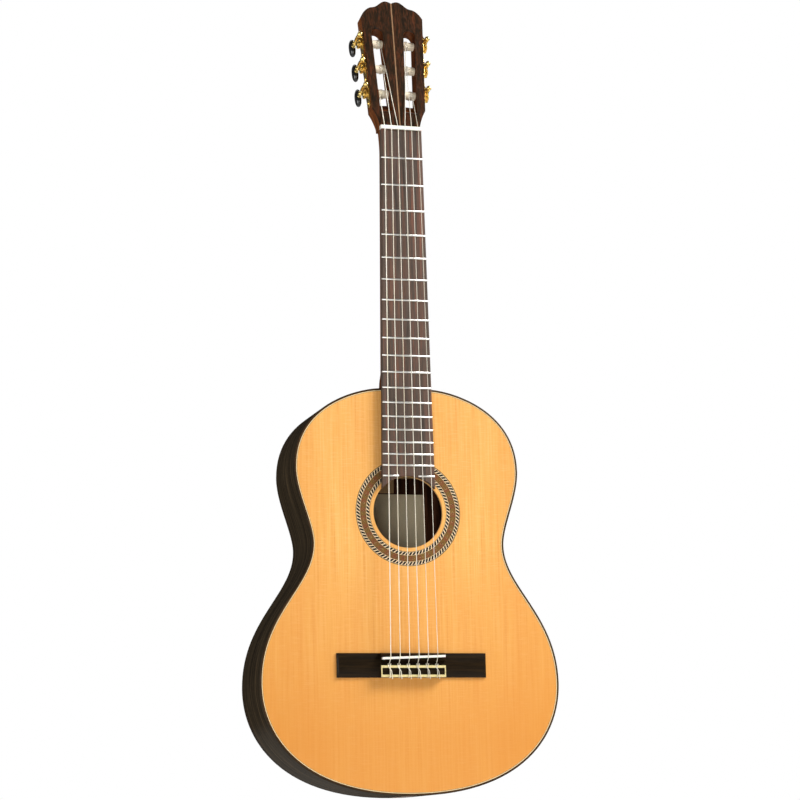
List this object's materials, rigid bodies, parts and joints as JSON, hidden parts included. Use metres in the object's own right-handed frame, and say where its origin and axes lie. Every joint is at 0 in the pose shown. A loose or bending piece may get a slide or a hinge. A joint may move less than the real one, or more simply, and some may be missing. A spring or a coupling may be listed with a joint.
{
  "type": "classical guitar",
  "caption": "Nylon-string classical guitar with slotted head, worm-geared tuners, round sound hole, tied bridge and fretted neck.",
  "frame": {"origin": "middle of the nut's playing edge, in the plane of the soundboard's face and the underside of the fingerboard", "axes": "+X to the treble side, +Y from the strings to the back, +Z along the neck from the body to the head"},
  "size_m": [0.371, 0.1158, 0.9917],
  "materials": {
    "spruce_top": "polished amber varnish over straight spruce grain",
    "spruce_inner": "bare planed spruce",
    "rosewood_body": "high gloss lacquer over dark straight-grained rosewood",
    "rosewood_board": "oiled open-pored rosewood",
    "rosewood_bridge": "satin dark rosewood",
    "binding_dark": "gloss lacquered rosewood strip",
    "purfling": "fine light and dark lines",
    "rosette_mosaic": "end-grain mosaic between rope bands",
    "inlay_light": "light inlaid wood",
    "mahogany": "satin lacquered mahogany",
    "label_paper": "aged blank paper",
    "bone": "polished bone",
    "trim_cream": "cream ivoroid",
    "fret_metal": "polished nickel silver",
    "nylon": "clear and wound nylon",
    "gold": "polished gold plate",
    "roller_cream": "smooth cream sleeve",
    "button_black": "polished black"
  },
  "bodies": {
    "root": {"soundboard": "spruce_top", "rosette": "rosette_mosaic", "back": "rosewood_body", "back_centre_strip": "inlay_light", "rib_bass": "rosewood_body", "rib_treble": "rosewood_body", "binding_top": "binding_dark", "purfling_top": "purfling", "binding_back": "binding_dark", "end_graft": "inlay_light", "tail_block": "mahogany", "neck_block": "mahogany", "neck": "mahogany", "heel_cap": "rosewood_body", "headstock": "mahogany", "headplate": "rosewood_body", "headplate_stripe": "inlay_light", "lining_top": "spruce_inner", "lining_back": "spruce_inner", "fan_braces": "spruce_inner", "harmonic_bars": "spruce_inner", "soundhole_patch": "spruce_inner", "back_braces": "spruce_inner", "back_centre_reinforcement": "spruce_inner", "label": "label_paper", "fingerboard": "rosewood_board", "frets": "fret_metal", "nut": "bone", "bridge": "rosewood_bridge", "saddle": "bone", "tie_block_trim": "trim_cream", "strings_treble": "nylon", "strings_bass": "nylon", "tuner_plate_treble": "gold", "tuner_plate_bass": "gold", "plate_screws": "gold"},
    "worm_1": {"worm_1": "gold", "button_1": "button_black"},
    "roller_1": {"gear_1": "gold", "roller_1": "roller_cream"},
    "worm_2": {"worm_2": "gold", "button_2": "button_black"},
    "roller_2": {"gear_2": "gold", "roller_2": "roller_cream"},
    "worm_3": {"worm_3": "gold", "button_3": "button_black"},
    "roller_3": {"gear_3": "gold", "roller_3": "roller_cream"},
    "worm_4": {"worm_4": "gold", "button_4": "button_black"},
    "roller_4": {"gear_4": "gold", "roller_4": "roller_cream"},
    "worm_5": {"worm_5": "gold", "button_5": "button_black"},
    "roller_5": {"gear_5": "gold", "roller_5": "roller_cream"},
    "worm_6": {"worm_6": "gold", "button_6": "button_black"},
    "roller_6": {"gear_6": "gold", "roller_6": "roller_cream"}
  },
  "joints": [
    {"name": "tuner_1_button", "type": "hinge", "parent": "root", "child": "worm_1", "pos_m": [0.04082, 0.017, 0.05802], "axis": [0, 0.9848, -0.1736], "continuous": true},
    {"name": "tuner_1_roller", "type": "hinge", "parent": "root", "child": "roller_1", "pos_m": [0.03527, 0.01565, 0.05037], "axis": [0.999, -0.0076, -0.043], "continuous": true},
    {"name": "tuner_2_button", "type": "hinge", "parent": "root", "child": "worm_2", "pos_m": [0.04234, 0.02307, 0.09245], "axis": [0, 0.9848, -0.1736], "continuous": true},
    {"name": "tuner_2_roller", "type": "hinge", "parent": "root", "child": "roller_2", "pos_m": [0.0368, 0.02173, 0.08481], "axis": [0.999, -0.0076, -0.043], "continuous": true},
    {"name": "tuner_3_button", "type": "hinge", "parent": "root", "child": "worm_3", "pos_m": [0.04387, 0.02915, 0.12689], "axis": [0, 0.9848, -0.1736], "continuous": true},
    {"name": "tuner_3_roller", "type": "hinge", "parent": "root", "child": "roller_3", "pos_m": [0.03833, 0.0278, 0.11924], "axis": [0.999, -0.0076, -0.043], "continuous": true},
    {"name": "tuner_4_button", "type": "hinge", "parent": "root", "child": "worm_4", "pos_m": [-0.04387, 0.02915, 0.12689], "axis": [0, 0.9848, -0.1736], "continuous": true},
    {"name": "tuner_4_roller", "type": "hinge", "parent": "root", "child": "roller_4", "pos_m": [-0.03833, 0.0278, 0.11924], "axis": [-0.999, -0.0076, -0.043], "continuous": true},
    {"name": "tuner_5_button", "type": "hinge", "parent": "root", "child": "worm_5", "pos_m": [-0.04234, 0.02307, 0.09245], "axis": [0, 0.9848, -0.1736], "continuous": true},
    {"name": "tuner_5_roller", "type": "hinge", "parent": "root", "child": "roller_5", "pos_m": [-0.0368, 0.02173, 0.08481], "axis": [-0.999, -0.0076, -0.043], "continuous": true},
    {"name": "tuner_6_button", "type": "hinge", "parent": "root", "child": "worm_6", "pos_m": [-0.04082, 0.017, 0.05802], "axis": [0, 0.9848, -0.1736], "continuous": true},
    {"name": "tuner_6_roller", "type": "hinge", "parent": "root", "child": "roller_6", "pos_m": [-0.03527, 0.01565, 0.05037], "axis": [-0.999, -0.0076, -0.043], "continuous": true}
  ],
  "couplings": [
    {"joint": "tuner_1_roller", "follows": "tuner_1_button", "ratio": 0.0625},
    {"joint": "tuner_2_roller", "follows": "tuner_2_button", "ratio": 0.0625},
    {"joint": "tuner_3_roller", "follows": "tuner_3_button", "ratio": 0.0625},
    {"joint": "tuner_4_roller", "follows": "tuner_4_button", "ratio": 0.0625},
    {"joint": "tuner_5_roller", "follows": "tuner_5_button", "ratio": 0.0625},
    {"joint": "tuner_6_roller", "follows": "tuner_6_button", "ratio": 0.0625}
  ]
}
